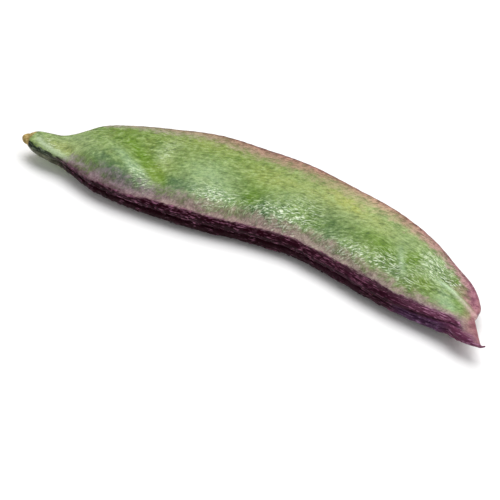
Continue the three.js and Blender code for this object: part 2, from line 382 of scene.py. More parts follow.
# Wrinkles: their turn from the flow, length, width and seed, then height and share of the tone.
WRINKLES = (
    ((0, 2.8, 0.85, 11), 0.036, 0.9),
    ((0, 1.5, 0.45, 12), 0.022, 0.9),
    ((70, 1.5, 0.6, 13), 0.026, 0.8),
)
NET = (20, 1.5, 0.85, 14)
NET_HEIGHT, NET_TONE, NET_SHARPNESS, NET_GAIN, NET_MOST = 0.045, 0.5, 3.2, 1.1, 1.2
SMOOTHEST, FAINTEST = 0.35, 0.4  # what is left of the wrinkles and their tone by the seam
PATCH_LEVEL, PATCH_RANGE, TONE_MOST = 0.8, 0.6, 1.5

# Where the fine relief fades in: past the ridge, in from the back edge, past the dark
# band's edge, over the pod's width, and along the neck.
FACE_FADES, BACK_FADES, BAND_FADES = (0.4, 2.0), (0.4, 1.5), (-0.1, 0.9)
WIDTH_FADES, NECK_FADES = (2, 7), (10, 22)
OPEN_FADES, STALK_FADES = (2.5, 5.5), (13, 20)

DENTS = ((0.22, 6.3, 21), (0.1, 2.9, 22))  # height, size, seed
UNEVEN_HEIGHT, UNEVEN_SIZE, UNEVEN_SEED = 0.1, 1.9, 31
BEAD_HEIGHT, BEAD_PLACE, BEAD_REACH = 0.08, 0.7, 0.4
EDGE_HEIGHT, EDGE_SIZE, EDGE_SEED, EDGE_FADES = 0.06, 1.1, 33, (0.5, 2)
NECK_WARTS = 0.35  # the height that warts have on the neck, as a share

# Spots where the skin is drawn into a coarser net of ridges, with painted glints and shade in it.
NETTED = (
    (50.8, 4.2, 3.2, 1.9, 12, 1.2),
    (66.5, 6.2, 4.5, 2.4, 5, 1),
    (85, 5.4, 5.5, 1.9, 5, 0.85),
    (93.5, 8, 2.2, 2.2, 0, 0.5),
    (102.5, 12.2, 3.4, 3, -30, 0.9),
    (98.8, 4.6, 2.4, 1.2, -15, 0.45),
    (107, 10.5, 1.8, 1.8, 0, 0.5),
    (32.6, 1.3, 2.8, 1, -32, 0.8),
    (70, 11, 3, 3, 0, 0.4),
    (8, 0.2, 3.2, 1.1, -10, 0.5),
    (33.5, 11.5, 1.2, 3.4, 8, 0.35),
)

# Painted highlight along the top of the neck's ridge.
NECK_HIGHLIGHT_LINE = ((5.0, 0.2), (6.2, -0.4), (8.2, -0.9), (10.0, -1.2), (12.4, -1.3), (14.8, -1.5))
CREASE = ((92.8, 13.4), (94.0, 11.2), (95.0, 9.4), (96.1, 7.6), (97.4, 5.6))
CREASE_SPOT = (95.0, 9.2, 3.0, 3.4)
CREASE_HEIGHT, CREASE_REACH = 0.26, 0.42
HOLLOW_DEPTH, HOLLOW_OFFSET, HOLLOW_REACH = 0.3, 1.5, 1.0
# The groove's line climbs over the upper ridge on its way to the beak: places along the
# pod, and how far past the ridge's top the line lies there.
CLIMB_PLACES = (97, 99.5, 104, 108.5, 112.5, 115)
CLIMB_LEVELS = (-2.0, -1.9, -1.45, -0.65, 0.5, 0.9)
CLIMB_STARTS, CLIMB_ENDS = (98, 103), (113, 116)
CLIMB_DEPTH, CLIMB_REACH = 0.3, 0.24
BELOW_STARTS, BELOW_FADES = (97, 101), (0, 0.5)  # the violet skin below that line


def ovals(x, y, table):
    """The sum of a table's soft ovals: centre, reach along and across, turn, strength."""
    return sum(row[5] * oval(x, y, *row[:5]) for row in table)


def flow_angle(x, y, past_ridge):
    by_seam = np.interp(x, SEAM_PLACES, SEAM_ANGLES)
    open_face = np.interp(x, FLOW_PLACES, FLOW_ANGLES)
    swirl = SWIRL_TURN * plan_noise(x, y, 0 * x, *SWIRL)
    return mix(by_seam, open_face, smooth_step(past_ridge, *FLOW_FADES)) + swirl


def flow_weights(angle):
    """How much each whole step of angle counts at each point."""
    steps = range(math.floor(angle.min() / FLOW_STEP), math.ceil(angle.max() / FLOW_STEP) + 1)
    weights = {step: np.maximum(1 - np.abs(angle / FLOW_STEP - step), 0) for step in steps}
    size = np.sqrt(sum(weight * weight for weight in weights.values()))
    return {step: weight / size for step, weight in weights.items()}


def flowing(x, y, side, flow, turned, long, short, seed):
    """Noise drawn out along the flow or turned from it, about -1 to 1."""
    angle = flow + turned
    total = np.zeros(x.shape)
    bend = plan_noise(x, y, side, BEND_SIZE, BEND_SIZE, BEND_APART, seed + BEND_SEED)
    for step, weight in flow_weights(angle).items():
        turn = math.radians(step * FLOW_STEP)
        run = (x * math.cos(turn) + y * math.sin(turn)) / long
        across = (y * math.cos(turn) - x * math.sin(turn) + BEND_FAR * bend) / short
        # Each side and each step takes another slice of the noise.
        points = np.stack([run, across, side * 3.3 + 5.7 * step], axis=2)
        total += weight * noise(points, seed)
    return total


def wrinkles(x, y, side, past, flow):
    """The open skin's wrinkles in millimetres, their tone, and where they form a net."""
    height, tone = 0, 0
    for shape, high, toned in WRINKLES:
        wave = flowing(x, y, side, flow, *shape)
        height, tone = height + high * wave, tone + toned * wave
    netted = np.clip(ovals(x, y, NETTED), 0, NET_MOST)
    net = netted * (1 - NET_SHARPNESS * np.abs(flowing(x, y, side, flow, *NET)))
    open_skin = np.maximum(smooth_step(past, *OPEN_FADES), 1 - smooth_step(x, *STALK_FADES))
    patchy = PATCH_LEVEL + PATCH_RANGE * plan_noise(x, y, side, *PATCHES)
    height *= patchy * mix(SMOOTHEST, 1, open_skin) * (1 + NET_GAIN * netted)
    tone = mix(FAINTEST, 1, open_skin) * (tone + NET_TONE * net)
    return height + NET_HEIGHT * net, np.clip(tone, -TONE_MOST, TONE_MOST), netted


def crease_fold(x, y, side):
    """The short crease before the beak, with the hollow beside it."""
    away = line_distance(x, y, CREASE)
    fold = CREASE_HEIGHT * bell(away / CREASE_REACH)
    fold -= HOLLOW_DEPTH * bell((away + HOLLOW_OFFSET) / HOLLOW_REACH)
    return fold * oval(x, y, *CREASE_SPOT) * (side > 0)


def relief(places, facts):
    """How far the fine relief lifts each point, in millimetres, with its parts for the colours."""
    x, y = places[..., 0], places[..., 1]
    side, past, to_back = facts["side"], facts["past_ridge"], facts["to_back"]
    on_face = smooth_step(past, *FACE_FADES) * smooth_step(to_back, *BACK_FADES)
    on_ridge = 1 - smooth_step(past - band_edge(x), *BAND_FADES)
    roomy = smooth_step(facts["width"], *WIDTH_FADES)
    neck = smooth_step(x, *NECK_FADES)

    flow = flow_angle(x, y, past)
    face, tone, netted = wrinkles(x, y, side, past, flow)
    dents = sum(height * noise(places / size, seed) for height, size, seed in DENTS)
    level = past - np.interp(x, CLIMB_PLACES, CLIMB_LEVELS)
    climb = smooth_step(x, *CLIMB_STARTS) * (1 - smooth_step(x, *CLIMB_ENDS)) * (side > 0)
    climb = climb * bell(level / CLIMB_REACH)
    knobs = warts(places, facts["run"], facts["round"], side) * on_ridge * roomy
    uneven = UNEVEN_HEIGHT * noise(places / UNEVEN_SIZE, UNEVEN_SEED) * on_ridge
    bead = BEAD_HEIGHT * bell((to_back - BEAD_PLACE) / BEAD_REACH)
    ragged_edge = EDGE_HEIGHT * noise(places / EDGE_SIZE, EDGE_SEED)
    ragged_edge *= 1 - smooth_step(to_back, *EDGE_FADES)

    lift = (face + crease_fold(x, y, side) + dents * neck) * on_face * roomy
    lift += WART_HEIGHT * knobs * mix(NECK_WARTS, 1, neck)
    lift += (uneven + bead + ragged_edge) * roomy
    lift -= CLIMB_DEPTH * climb

    below = np.where(side > 0, smooth_step(-level, *BELOW_FADES), 1)
    parts = {"tone": tone, "knobs": knobs, "climb": climb, "netted": netted}
    parts["below"] = smooth_step(x, *BELOW_STARTS) * below
    parts.update({f"flow_{step}": weight for step, weight in flow_weights(flow).items()})
    return lift, parts


# The dark band's upper edge: places along the pod, and how far past the ridge's top it lies.
BAND_PLACES = (
    2, 5, 9, 13, 16, 20, 23, 26, 31, 36, 41, 46, 55, 65, 69, 76, 80, 89, 92, 98, 105, 110, 114,
)
BAND_LEVELS = (
    -0.7, -0.8, -1.0, -1.2, -1.2, -1.6, -1.3, -1.0, -1.1, -0.6, -0.3, 0.0, -0.2, -0.1, 0.0, 0.1,
    0.3, 0.8, 1.0, 0.9, 1.3, 1.8, 2.2,
)


def band_edge(x):
    return np.interp(x, BAND_PLACES, BAND_LEVELS)


# Zones of painted light, sheen, shade and glow on the upper face, each a table of soft ovals.
# Painted glow: saturated green in the valleys, where light shows through the thin wall.
HOLLOW_GLOW = (
    (29.5, 7.6, 6, 1.15, -31, 0.95),
    (31.5, 6.4, 3.4, 1, -31, 0.4),
    (34.6, 4.8, 2.4, 0.9, -31, 0.9),
    (36.2, 3, 2.2, 0.9, -31, 0.6),
    (23, 11.5, 2.4, 1.4, -35, 0.4),
    (58.2, 8.3, 1.6, 2, 0, 0.85),
    (57.5, 13, 3, 3, 0, 0.35),
    (97.2, 11.4, 1.5, 2.4, 0, 0.95),
    (87.5, 12, 4, 1.8, -15, 0.5),
    (110, 5.9, 1.6, 1, -40, 0.6),
    (102.6, 5.7, 2, 0.9, -15, 0.95),
    (91, 10.5, 3, 2.5, 0, 0.5),
    (72, 8.5, 3, 2, 0, 0.4),
    (108, 11, 2.5, 1.6, -45, 0.5),
)
# Painted glow: yellow-green patches where light shows through the thin wall.
YELLOW_GLOW = (
    (75.5, 20.3, 4.5, 1.7, -15, 0.8),
    (70, 18, 5, 2, -10, 0.35),
    (102.6, 5.7, 1.9, 0.9, -15, 0.2),
    (10.5, 1.3, 3.2, 1.3, 15, 0.5),
    (12.8, -0.2, 2.4, 1, 5, 0.5),
    (40, 21, 8, 3, 15, 0.35),
    (58, 17.5, 5, 3, 0, 0.45),
    (34.5, 8.5, 2, 5, 10, 0.3),
    (84, 17.5, 6, 2, -20, 0.35),
)
# Painted highlights: a pale sheen on the mounds' slopes that face the light.
PAINTED_SHEEN = (
    (46.5, 9, 5, 4, 0, 0.55),
    (27, 4.4, 4, 1.1, -25, 0.65),
    (30.8, 2.6, 1.8, 0.9, -25, 0.5),
    (51, 4.6, 4, 1.9, 12, 0.6),
    (67, 6.2, 4.5, 1.8, 5, 0.6),
    (65, 11, 5, 3, 0, 0.3),
    (33.5, 10.5, 1.8, 4, 10, 0.5),
    (33.4, 0.8, 3.2, 1, -32, 0.85),
    (102.2, 12.2, 3.4, 3, -30, 0.55),
    (86, 5.8, 5, 1.4, 5, 0.4),
    (108.4, 4.3, 2.2, 1.5, -20, 1.1),
    (92, 13.5, 2, 2.5, 0, 0.3),
)
# Painted shade with a bluish sheen, on the mounds' slopes away from the light.
BLUISH_SHADE = (
    (27.6, -0.2, 4.2, 1.5, -9, 1),
    (20.5, 2.6, 3, 2, 15, 0.4),
    (41, 3, 3.6, 1.5, 5, 0.75),
    (61.5, 5.6, 2.2, 1.4, 10, 0.8),
    (77.5, 7.2, 3.4, 2, 0, 0.6),
    (94.9, 10.5, 1, 3.4, 22, 0.3),
    (12.5, 1.5, 2, 1.2, 0, 0.4),
    (95.5, 5, 2, 1.6, 0, 0.4),
)
# Painted shade: a deeper green in the hollows beside the seeds.
HOLLOW_SHADE = (
    (59.5, 7.4, 2.4, 2.4, 20, 1),
    (58, 8.8, 2.2, 2, 25, 0.7),
    (62, 5.2, 1.8, 1.4, 0, 0.7),
    (54, 11, 2, 1.2, -40, 0.5),
    (76, 10.5, 3, 2.4, 0, 0.75),
    (75, 15.2, 4, 2.5, 0, 0.4),
    (92, 9.6, 1.6, 3.2, 15, 0.8),
    (36.5, 13.5, 1.4, 3, 10, 0.3),
    (29, -0.6, 4.4, 1.5, -9, 1),
    (42, 3, 3.4, 1.3, 0, 0.6),
    (84.5, 10.4, 5, 1.2, -5, 0.5),
    (97.5, 8, 1.6, 1.6, 0, 0.5),
    (102.6, 5.6, 1.9, 1, -15, 0.9),
    (105.5, 11.5, 2.2, 1, -45, 0.4),
    (12, 3.6, 2.5, 1.2, 30, 0.3),
)
# Painted light: the face is lighter towards the back edge and the beak, and on the neck, where more
# light falls.
PAINTED_LIGHT = (
    (78, 18, 13, 5, -12, 1),
    (99, 12, 9, 4.5, -40, 0.4),
    (6, 2, 5, 2.5, 15, 0.7),
    (14, 4.5, 4, 3, 30, 0.5),
    (13.5, 1.8, 3, 2, 10, 1),
    (46, 9, 5, 4, 0, 0.4),
)


# The zones that the tables give, and how much the blotches break each one up.
OVAL_ZONES = {
    "vivid_glow": (HOLLOW_GLOW, 0),
    "yellow_glow": (YELLOW_GLOW, 0.5),
    "pale": (PAINTED_SHEEN, 0.4),
    "bluish_shade": (BLUISH_SHADE, 0.4),
    "hollow_shade": (HOLLOW_SHADE, 0.5),
    "light": (PAINTED_LIGHT, 0),
}
# How far zones reach in millimetres: places along the pod, and the reach there.
BLUSH_REACH = (
    (10, 15, 22, 30, 38, 48, 62, 80, 92, 104),
    (0.2, 3, 4.3, 4.4, 3.8, 3.6, 3.4, 3, 2.5, 1.8),
)
RIM_REACH = ((4, 14, 26, 50, 75, 92, 112), (0.5, 1.4, 3.6, 5.8, 6.0, 4.2, 2.0))
RED_REACH = (
    (4, 20, 35, 48, 60, 72, 86, 96, 104, 112),
    (0.3, 0.8, 1.6, 2.5, 2.4, 1.2, 1.8, 1.9, 1.3, 1.4),
)
EDGE_REACH = ((3, 16, 30), (1.5, 1.3, 1.1))
LINE_REACH = {"vein": 0.42, "crease": 0.5, "neck": 0.6}
# Places along the pod between which its zones start or end.
SEAM_WIDENS, SEAM_SOFTENS, BLUSH_STARTS, BARE_ENDS = (111, 115), (108, 115), (10, 16), (9, 16)
VEIN_STARTS, LOBE_STARTS, BEAK_STARTS = (103, 106), (106, 113), (111.5, 116)
STALK_ENDS, NECK_HIGHLIGHT_ENDS = (2.8, 3.2), (11, 17)
BELOW_ENDS, KNOBS_BELOW = (108, 113), (85, 97)
# Past the dark band's edge, where the seam's colour ends: on the pod and by the beak.
SEAM_EDGE, SEAM_EDGE_BY_BEAK = (-0.9, 0.9), (-1.5, 2.6)


def seam_zones(x, side, past_ridge, wander, ragged, blotch):
    """The dark seam, the blush beside it, and the bare skin under it by the stalk."""
    past = past_ridge - band_edge(x)
    near = past + 0.3 * wander + 0.25 * ragged + 2.2 * smooth_step(x, *SEAM_WIDENS)
    soft = smooth_step(x, *SEAM_SOFTENS)
    edge = [mix(here, by_beak, soft) for here, by_beak in zip(SEAM_EDGE, SEAM_EDGE_BY_BEAK)]
    strayed = past + 0.6 * wander + 0.5 * blotch + 0.4
    blush = 1 - np.clip(strayed / (1.8 * np.interp(x, *BLUSH_REACH)), 0, 1)
    bare = np.where(side > 0, smooth_step(-past_ridge, 1.9, 2.5), 1)
    return {
        "seam": 1 - smooth_step(near, *edge),
        "blush": blush * smooth_step(x, *BLUSH_STARTS),
        "bare": bare * (1 - smooth_step(x, *BARE_ENDS)),
    }


def back_zones(x, to_back, ragged, blotch):
    """The brown rim, the reddish strip in it, and the thin dark edge at its end."""
    wide = np.interp(x, *RIM_REACH)
    strayed = to_back + blotch + 0.5 * ragged
    reddened = (to_back + 0.4 * blotch) / (2.2 * np.interp(x, *RED_REACH))
    thin = np.interp(x, *EDGE_REACH)
    return {
        "rim": 1 - smooth_step(strayed, 0.3 * wide, 1.5 * wide),
        "red": 1 - np.clip(reddened, 0, 1),
        "edge": 1 - smooth_step(to_back + 0.15 * ragged, 0.35, thin),
    }


def line_zones(x, y, side, blotch):
    """The vein's pale line, painted highlights along the crease and the neck, and the flange past
    the vein.
    """
    off_vein = line_distance(x, y, VEIN)
    vein = bell(off_vein / LINE_REACH["vein"]) * smooth_step(x, *VEIN_STARTS)
    # The crease takes the vein's pale colour as a painted highlight.
    crease = bell(line_distance(x, y, CREASE) / LINE_REACH["crease"])
    crease *= 0.5 * oval(x, y, *CREASE_SPOT) * (side > 0)
    neck = bell(line_distance(x, y, NECK_HIGHLIGHT_LINE) / LINE_REACH["neck"])
    return {
        "vein": np.clip(vein + crease, 0, 1),
        "neck": neck * (1 - smooth_step(x, *NECK_HIGHLIGHT_ENDS)),
        "lobe": smooth_step(x + 2.2 * blotch, *LOBE_STARTS) * smooth_step(off_vein, 0.3, 1.5),
    }


def colour_parts(places, facts, parts):
    """The soft zones that the skin's colours follow, each from 0 to 1."""
    x, y, side = places[..., 0], places[..., 1], facts["side"]
    tables = (WANDER, RAGGED, BLOTCH)
    wander, ragged, blotch = (plan_noise(x, y, side, *table) for table in tables)
    return {
        **seam_zones(x, side, facts["past_ridge"], wander, ragged, blotch),
        **back_zones(x, facts["to_back"], ragged, blotch),
        **line_zones(x, y, side, blotch),
        **{
            name: np.clip(ovals(x, y, table) * (1 + broken * blotch), 0, 1)
            for name, (table, broken) in OVAL_ZONES.items()
        },
        "run": facts["run"],
        "round": facts["round"],
        "along": x / RIBS[-1, 0],
        "tone": 0.5 + parts["tone"] / 3,
        "below": parts["below"] * (1 - smooth_step(x, *BELOW_ENDS)),
        "knobs": parts["knobs"] - 0.5 * (side < 0) * (1 - smooth_step(x, *KNOBS_BELOW)),
        "climb": np.clip(parts["climb"], 0, 1),
        "netted": np.clip(parts["netted"], 0, 1),
        "beak": smooth_step(x + 0.8 * wander + 0.8 * blotch, *BEAK_STARTS),
        "stalk": 1 - smooth_step(x + 0.2 * wander, *STALK_ENDS),
        **{name: weight for name, weight in parts.items() if name.startswith("flow_")},
    }


def scar_rings(first, centre, out):
    """Rings that step inwards over the stalk scar, innermost first."""
    shares = [step[0] for step in SCAR_STEPS]
    heights = [step[1] for step in SCAR_STEPS]
    walked = np.cumsum([0, *np.hypot(np.diff(shares) * SCAR_RADIUS, np.diff(heights))])
    rings = []
    for place in np.linspace(walked[-1], 0, SCAR_RINGS + 1, endpoint=False)[1:]:
        share, height = np.interp(place, walked, shares), np.interp(place, walked, heights)
        rings.append(centre + (first - centre) * share + out * height)
    return rings


def pod_mesh():
    """The pod as one closed mesh, with the colour zones as its attributes."""
    places, facts = pod_grid()
    lift, parts = relief(places, facts)
    zones = colour_parts(places, facts, parts)
    places = places + outward(places) * lift[..., None]

    first = places[0]
    centre = first.mean(axis=0)
    seam_to_back = RIBS[0, 2:4] - RIBS[0, 0:2]
    out = np.array([-seam_to_back[1], seam_to_back[0], 0.0])
    out /= np.linalg.norm(out)
    caps = np.stack(scar_rings(first, centre, out))
    caps += SCAR_ROUGH * noise(caps / SCAR_ROUGH_SIZE, SCAR_SEED)[..., None] * out
    rings = np.concatenate([caps, places])
    apex = centre + out * SCAR_STEPS[-1][1]
    tip = places[-1].mean(axis=0) + [BEAK_POINT, 0, 0]

    points = np.concatenate([rings.reshape(-1, 3), [apex, tip]])
    points[:, 2] = np.maximum(points[:, 2], 0)
    low, high = points.min(axis=0), points.max(axis=0)
    cad_centre = np.array((cad_low + cad_high) / 2) / MM
    points[:, :2] += cad_centre[:2] - ((low + high) / 2)[:2]

    count, size = rings.shape[:2]
    here = np.arange(count * size).reshape(count, size)[:-1]
    side_step = np.roll(here, -1, axis=1)
    quads = np.stack([here, here + size, side_step + size, side_step], axis=2).reshape(-1, 4)
    turn = np.arange(size)
    next_turn = np.roll(turn, -1)
    start = np.stack([np.full(size, count * size), turn, next_turn], axis=1)
    end_row = (count - 1) * size
    end = np.stack([np.full(size, count * size + 1), end_row + next_turn, end_row + turn], axis=1)

    mesh = bpy.data.meshes.new("pod_skin")
    mesh.from_pydata((points * MM).tolist(), [], quads.tolist() + start.tolist() + end.tolist())
    mesh.shade_smooth()
    for name, zone in zones.items():
        capped = np.repeat(zone[:1], SCAR_RINGS, axis=0)
        ends = [capped[0].mean(), zone[-1].mean()]
        if name == "stalk":
            capped, ends[0] = np.ones_like(capped), 1.0
        values = np.concatenate([capped.ravel(), zone.ravel(), ends])
        layer = mesh.attributes.new(name, "FLOAT", "POINT")
        layer.data.foreach_set("value", values.astype(np.float32))
    return mesh


def colour(red, green, blue):
    """A colour given as 0 to 255 on the screen, as the shader's linear one."""
    channels = []
    for value in (red, green, blue):
        share = value / 255
        linear = share / 12.92 if share <= 0.04045 else ((share + 0.055) / 1.055) ** 2.4
        channels.append(linear)
    return (*channels, 1.0)


# Where Blender's mix node keeps its two colours, and the mixed one.
MIX_UNDER, MIX_OVER, MIX_RESULT = 6, 7, 2


class Shader:
    """Short names for the nodes that a material is put together from."""

    def __init__(self, name):
        self.material = bpy.data.materials.new(name)
        self.material.use_nodes = True
        self.tree = self.material.node_tree
        self.surface = self.tree.nodes["Principled BSDF"]

    def node(self, kind, **settings):
        made = self.tree.nodes.new("ShaderNode" + kind)
        for key, value in settings.items():
            setattr(made, key, value)
        return made

    def put(self, socket, value):
        if isinstance(value, bpy.types.NodeSocket):
            self.tree.links.new(value, socket)
        else:
            socket.default_value = value

    def fill(self, made, values):
        for name, value in values.items():
            self.put(made.inputs[name], value)

    def zone(self, name):
        return self.node("Attribute", attribute_name=name).outputs["Fac"]

    def calc(self, operation, *values):
        made = self.node("Math", operation=operation)
        for socket, value in zip(made.inputs, values):
            self.put(socket, value)
        return made.outputs[0]

    def times(self, first, second):
        return self.calc("MULTIPLY", first, second)

    def blend(self, share, under, over, kind="MIX"):
        made = self.node("Mix", data_type="RGBA", blend_type=kind)
        self.put(made.inputs[0], share)
        self.put(made.inputs[MIX_UNDER], under)
        self.put(made.inputs[MIX_OVER], over)
        return made.outputs[MIX_RESULT]

    def noise(self, place, scale, detail, roughness):
        made = self.node("TexNoise")
        self.fill(made, {"Vector": place, "Scale": scale, "Detail": detail, "Roughness": roughness})
        return made.outputs

    def own_place(self):
        return self.node("TexCoord").outputs["Object"]

    def spots(self, scale, detail=3.0, roughness=0.55):
        """Cloudy noise in the pod's own space, from 0 to 1; scale is in cells a metre."""
        return self.noise(self.own_place(), scale, detail, roughness)["Fac"]

    def warped_place(self):
        """The pod's own space, bent a little so that straight grain turns wavy."""
        place = self.own_place()
        moved = self.node("VectorMath", operation="MULTIPLY_ADD")
        self.put(moved.inputs[0], self.noise(place, WARP_SCALE, 1, 0.5)["Color"])
        moved.inputs[1].default_value = (WARP_FAR * MM, WARP_FAR * MM, 0)
        self.put(moved.inputs[2], place)
        return moved.outputs[0]

    def grain(self, place, steps, long, short):
        """Streaks along the skin's flow, about -0.5 to 0.5, from a blend of turned noises."""
        total = 0.0
        for step in steps:
            mapping = self.node("Mapping", vector_type="TEXTURE")
            self.fill(mapping, {
                "Vector": place,
                "Location": (13 * MM * step, 7 * MM * step, 0),
                "Rotation": (0, 0, math.radians(step * FLOW_STEP)),
                "Scale": (long * MM, short * MM, STREAK_DEPTH * MM),
            })
            drawn_out = self.noise(mapping.outputs[0], 1, 2, 0.6)["Fac"]
            centred = self.calc("SUBTRACT", drawn_out, 0.5)
            weighted = self.times(centred, self.zone(f"flow_{step}"))
            total = self.calc("ADD", weighted, total)
        return total

    def strokes(self, long, short, slant=0.0, seed=0.0):
        """Strokes along the seam, about -0.5 to 0.5, in millimetres along and round it."""
        run, rounded = self.zone("run"), self.zone("round")
        leaned = self.calc("MULTIPLY_ADD", rounded, -slant, run)
        vector = self.node("CombineXYZ")
        self.put(vector.inputs[0], self.times(leaned, 1 / long))
        self.put(vector.inputs[1], self.times(rounded, 1 / short))
        vector.inputs[2].default_value = seed
        return self.calc("SUBTRACT", self.noise(vector.outputs[0], 1, 2, 0.6)["Fac"], 0.5)

    def spread(self, value, low, high, to_low=0.0, to_high=1.0):
        """The value run from one range to another, and held at its ends."""
        made = self.node("MapRange", clamp=True)
        ends = {"From Min": low, "From Max": high, "To Min": to_low, "To Max": to_high}
        self.fill(made, {"Value": value, **ends})
        return made.outputs["Result"]

    def ramp(self, share, stops):
        made = self.node("ValToRGB")
        self.put(made.inputs["Fac"], share)
        elements = made.color_ramp.elements
        while len(elements) < len(stops):
            elements.new(0.5)
        for element, (position, tone) in zip(elements, stops):
            element.position = position
            element.color = tone
        return made.outputs["Color"]


# The skin's colours, 0 to 255 on the screen.
SHADES = {
    "face_patch": (124, 134, 72),
    "mottle_pale": (146, 170, 108),
    "mottle_dark": (70, 104, 52),
    "crest_highlight": (180, 202, 142),
    "trough_shade": (46, 72, 34),
    "net_gap_shade": (58, 80, 48),
    "net_glint": (232, 242, 220),
    "fleck_glint": (236, 242, 214),
    "hatch_dark": (84, 60, 62),
    "rim_dark": (98, 88, 56),
    "neck_ridge_highlight": (168, 184, 150),
    "neck_knob_highlight": (112, 124, 102),
    "groove": (34, 6, 22),
    "scar_mottle": (108, 100, 52),
}
# Two colours that are mixed, by noise unless said otherwise, the dark one first.
PAIRS = {
    "face": ((96, 124, 48), (110, 136, 62)),
    "near_left": ((80, 48, 64), (130, 98, 112)),
    "near_middle": ((102, 68, 84), (158, 130, 130)),
    "near_right": ((112, 92, 92), (176, 164, 152)),
    "outer_left": ((92, 80, 88), (138, 128, 132)),
    "outer_right": ((122, 104, 98), (170, 152, 140)),
    "back_brown": ((124, 98, 76), (164, 138, 106)),
    "back_pink": ((120, 72, 76), (176, 128, 118)),
    "back_purple": ((124, 70, 92), (192, 138, 148)),
    "lobe": ((122, 64, 92), (188, 134, 146)),
    "beak": ((128, 78, 88), (166, 122, 122)),
    "bare": ((72, 76, 58), (118, 120, 98)),
    "below_groove": ((72, 42, 74), (140, 108, 144)),
    "scar": ((144, 120, 68), (196, 174, 120)),
    # These change along the pod, so the one nearer the stalk comes first.
    "hatch_pale": ((148, 132, 136), (178, 164, 154)),
    "edge": ((76, 82, 56), (78, 32, 44)),
    "vein": ((184, 208, 170), (196, 160, 158)),
    "neck_painted_shade": ((18, 28, 18), (54, 60, 48)),
    "fringe": ((112, 64, 88), (150, 116, 134)),
}
# Painted light, sheen, shade and glow on the face, over each other in this order: zone, strength,
# colour.
FACE_ZONES = (
    ("light", 0.7, (144, 162, 114)),
    ("bluish_shade", 0.8, (80, 108, 90)),
    ("pale", 0.7, (158, 186, 146)),
    ("hollow_shade", 0.68, (56, 86, 44)),
    ("vivid_glow", 0.9, (98, 130, 38)),
    ("yellow_glow", 0.8, (166, 172, 92)),
)
# Colours that change along the pod: the share of its length, and the colour there.
RIM_SHADES = (
    (0.02, (116, 130, 92)),
    (0.14, (156, 150, 136)),
    (0.30, (160, 148, 130)),
    (0.54, (152, 138, 106)),
    (0.70, (190, 176, 138)),
    (0.86, (164, 146, 134)),
    (0.95, (158, 116, 126)),
)
SEAM_DARK = (
    (0.55, (34, 0, 12)),
    (0.68, (44, 10, 26)),
    (0.80, (44, 10, 26)),
    (0.96, (96, 46, 72)),
)
# Painted highlights on the seam's knobs and strokes.
SEAM_HIGHLIGHTS = (
    (0.50, (150, 98, 124)),
    (0.60, (136, 86, 108)),
    (0.68, (120, 72, 94)),
    (0.82, (120, 74, 98)),
    (0.92, (172, 122, 150)),
)
FINEST_GREYS = ((0.32, (0.33, 0.33, 0.33, 1)), (0.68, (0.67, 0.67, 0.67, 1)))

# Noises of the skin: sizes in millimetres, scales in cells a metre.
WARP_FAR, WARP_SCALE = 1.1, 420
STREAK_SIZE, STREAK_DEPTH = (1.2, 0.26), 2.5
SEAM_STROKE, HATCH_STROKE = (2.0, 0.22), (0.28, 1.1)
BROAD_SCALE, PATCH_SCALE, MOTTLE_SCALE, SATIN_SCALE = 110, 330, 620, 260
FLECK_SCALE, FINE_SCALE, FINEST_SCALE = 1500, 1700, 2600
EVEN, SHARP = (0.35, 0.65), (0.38, 0.62)  # the spreads of noise that most pairs mix by


def shade(name):
    return colour(*SHADES[name])


class SkinShader(Shader):
    """The pod skin's shader, with the noises that several of its colours share."""

    def __init__(self, name, steps):
        super().__init__(name)
        self.streaks = self.grain(self.warped_place(), steps, *STREAK_SIZE)
        self.patchy = self.spread(self.spots(PATCH_SCALE, detail=4), 0.3, 0.7)
        self.mottled = self.spots(MOTTLE_SCALE, detail=3, roughness=0.6)
        self.even = self.spread(self.mottled, *EVEN)
        self.sharp = self.spread(self.mottled, *SHARP)
        self.along_seam = self.strokes(*SEAM_STROKE)

    def along(self, low, high, to_low=0.0, to_high=1.0):
        return self.spread(self.zone("along"), low, high, to_low, to_high)

    def along_ramp(self, table):
        return self.ramp(self.zone("along"), [(place, colour(*tone)) for place, tone in table])

    def pair(self, share, name):
        first, second = PAIRS[name]
        return self.blend(share, colour(*first), colour(*second))

    def tint(self, under, zone, strength, over):
        return self.blend(self.times(self.zone(zone), strength), under, over)

    def stirred(self, value, noise, strength, middle=0.5):
        """The value with some noise on it."""
        return self.calc("MULTIPLY_ADD", self.calc("SUBTRACT", noise, middle), strength, value)


def face_green(s):
    """The greens of the open face, with painted light, sheen, shade and glow, and its wrinkles and
    net drawn in.
    """
    green = s.pair(s.spread(s.spots(BROAD_SCALE), *EVEN), "face")
    green = s.blend(s.times(s.patchy, 0.5), green, shade("face_patch"))
    green = s.blend(s.spread(s.mottled, 0.5, 0.7, 0.0, 0.45), green, shade("mottle_pale"))
    green = s.blend(s.spread(s.mottled, 0.46, 0.3, 0.0, 0.45), green, shade("mottle_dark"))
    # The face zones paint light, sheen, shade and glow.
    for zone, strength, over in FACE_ZONES:
        green = s.tint(green, zone, strength, colour(*over))
    # Wrinkle crests get a painted highlight, troughs painted shade.
    tone = s.calc("MULTIPLY_ADD", s.streaks, 1.1, s.zone("tone"))
    green = s.blend(s.spread(tone, 0.5, 1.0, 0.0, 0.5), green, shade("crest_highlight"))
    green = s.blend(s.spread(tone, 0.5, 0.0, 0.0, 0.6), green, shade("trough_shade"))
    # Painted shade in the net's gaps, and painted glints on its ridges.
    gap_shade = s.spread(s.streaks, -0.05, -0.14, 0.0, 0.75)
    green = s.tint(green, "netted", gap_shade, shade("net_gap_shade"))
    glints = s.spread(s.streaks, 0.04, 0.12, 0.0, 0.95)
    return s.tint(green, "netted", glints, shade("net_glint"))


